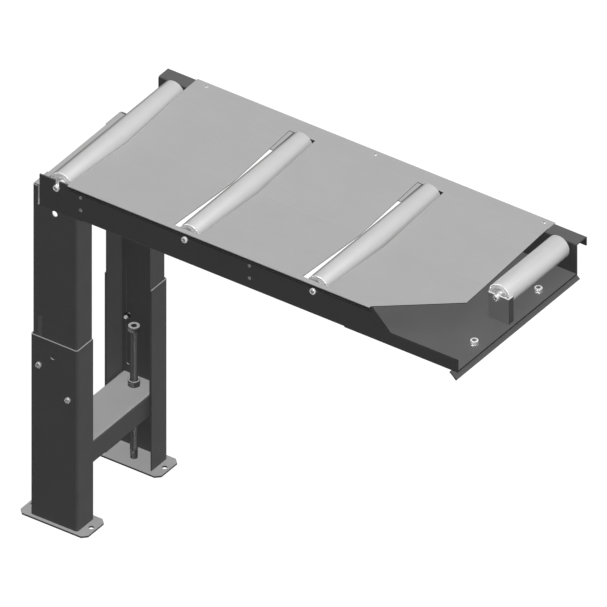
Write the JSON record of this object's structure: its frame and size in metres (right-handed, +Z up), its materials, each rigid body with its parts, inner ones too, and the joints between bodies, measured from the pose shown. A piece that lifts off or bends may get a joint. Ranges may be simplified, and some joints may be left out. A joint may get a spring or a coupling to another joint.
{
  "type": "roller conveyor",
  "caption": "Height-adjustable roller conveyor with a folded-sheet trough on a two-leg jack stand, for feeding bar stock to a machine that it bolts to.",
  "frame": {"origin": "on the floor, at the centre of the four anchor holes in the base plates", "axes": "+X along the feed direction towards the machine, +Y across from the near rail to the far rail, +Z up"},
  "size_m": [1.0237, 0.4425, 0.814],
  "materials": {
    "stand_paint": "dark grey powder coat",
    "table_paint": "dark grey powder coat",
    "bracket_paint": "dark grey powder coat",
    "grey_sheet": "pale grey sheet, matt",
    "zinc": "bright zinc plating",
    "rivet_steel": "plain rivet steel",
    "spindle_steel": "oiled steel",
    "bright_steel": "ground steel",
    "roller_steel": "pale satin steel tube",
    "roller_cap": "pressed steel"
  },
  "bodies": {
    "base": {"near_lower_leg": "stand_paint", "far_lower_leg": "stand_paint", "near_base_plate": "stand_paint", "far_base_plate": "stand_paint", "clamp_screws": "zinc", "clamp_nuts": "spindle_steel"},
    "table": {"near_upper_leg": "stand_paint", "far_upper_leg": "stand_paint", "leg_top_plates": "stand_paint", "crossbar": "stand_paint", "top_cross_member": "grey_sheet", "member_screws": "zinc", "spindle_nuts": "spindle_steel", "near_rail": "table_paint", "far_rail": "table_paint", "left_end_plate": "table_paint", "leg_bolts": "zinc", "leg_nuts": "zinc", "end_plate": "table_paint", "end_lip": "table_paint", "machine_bolts": "zinc", "roller_bracket": "bracket_paint", "bracket_rivets": "zinc", "tray": "grey_sheet", "tray_rib_1": "table_paint", "tray_rib_2": "table_paint", "tray_rivets": "rivet_steel", "tray_screws": "zinc", "near_axle_screws": "zinc", "far_axle_screws": "zinc", "roller_1_axle": "bright_steel", "roller_1_inner_rings": "bright_steel", "roller_2_axle": "bright_steel", "roller_2_inner_rings": "bright_steel", "roller_3_axle": "bright_steel", "roller_3_inner_rings": "bright_steel", "roller_4_axle": "bright_steel", "roller_4_inner_rings": "bright_steel"},
    "near_jack": {"near_spindle": "spindle_steel"},
    "far_jack": {"far_spindle": "spindle_steel"},
    "roller_1": {"roller_1_tube": "roller_steel", "roller_1_caps": "roller_cap", "roller_1_bearings": "bright_steel"},
    "roller_2": {"roller_2_tube": "roller_steel", "roller_2_caps": "roller_cap", "roller_2_bearings": "bright_steel"},
    "roller_3": {"roller_3_tube": "roller_steel", "roller_3_caps": "roller_cap", "roller_3_bearings": "bright_steel"},
    "roller_4": {"roller_4_tube": "roller_steel", "roller_4_caps": "roller_cap", "roller_4_bearings": "bright_steel"}
  },
  "joints": [
    {"name": "height", "type": "slide", "parent": "base", "child": "table", "axis": [0, 0, 1], "range_m": [-0.11, 0.11]},
    {"name": "roller_1_spin", "type": "hinge", "parent": "table", "child": "roller_1", "pos_m": [0.0055, 0.052, 0.789], "axis": [0, 1, 0], "continuous": true},
    {"name": "roller_2_spin", "type": "hinge", "parent": "table", "child": "roller_2", "pos_m": [0.3055, 0.052, 0.789], "axis": [0, 1, 0], "continuous": true},
    {"name": "roller_3_spin", "type": "hinge", "parent": "table", "child": "roller_3", "pos_m": [0.6055, 0.052, 0.789], "axis": [0, 1, 0], "continuous": true},
    {"name": "roller_4_spin", "type": "hinge", "parent": "table", "child": "roller_4", "pos_m": [0.9055, 0.052, 0.789], "axis": [0, 1, 0], "continuous": true},
    {"name": "near_jack_turn", "type": "hinge", "parent": "base", "child": "near_jack", "pos_m": [0, -0.117, 0.2], "axis": [0, 0, 1], "range_deg": [-19800, 19800]},
    {"name": "far_jack_turn", "type": "hinge", "parent": "base", "child": "far_jack", "pos_m": [0, 0.117, 0.2], "axis": [0, 0, 1], "range_deg": [-19800, 19800]}
  ],
  "couplings": [
    {"joint": "near_jack_turn", "follows": "height", "rad_per_m": -3141.6},
    {"joint": "far_jack_turn", "follows": "height", "rad_per_m": -3141.6}
  ]
}
